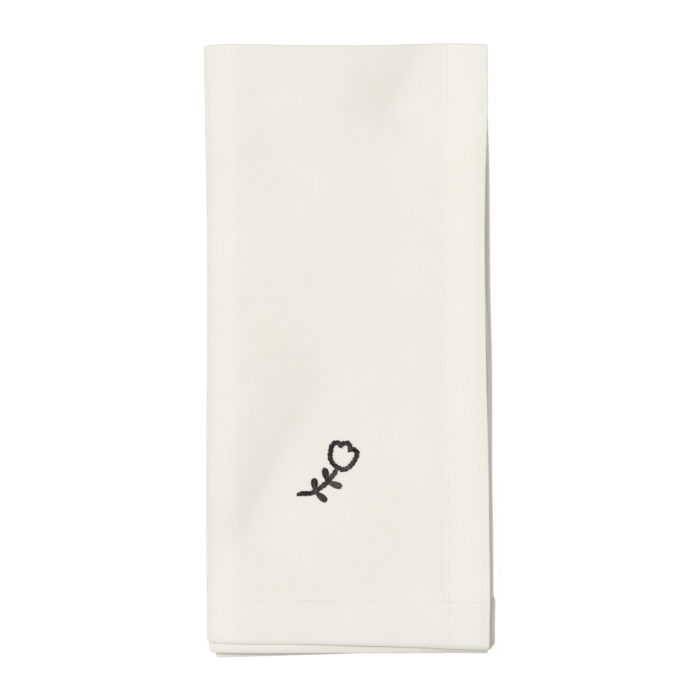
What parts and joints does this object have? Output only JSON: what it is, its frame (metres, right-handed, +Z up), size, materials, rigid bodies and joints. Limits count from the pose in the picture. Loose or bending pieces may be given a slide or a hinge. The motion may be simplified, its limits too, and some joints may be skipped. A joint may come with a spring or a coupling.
{
  "type": "cloth napkin",
  "caption": "Off-white cloth napkin with turned hems, folded into a flat oblong, for laying on a plate or beside it.",
  "frame": {"origin": "middle of the flat underside of the folded napkin", "axes": "+Z up from the table, +Y along the length towards the closed end, +X towards the open side"},
  "size_m": [0.1206, 0.2534, 0.011],
  "materials": {
    "cloth": "matt plain weave of linen and cotton, off-white",
    "thread": "charcoal stranded embroidery thread with a soft sheen"
  },
  "bodies": {
    "root": {"napkin": "cloth"}
  },
  "joints": []
}
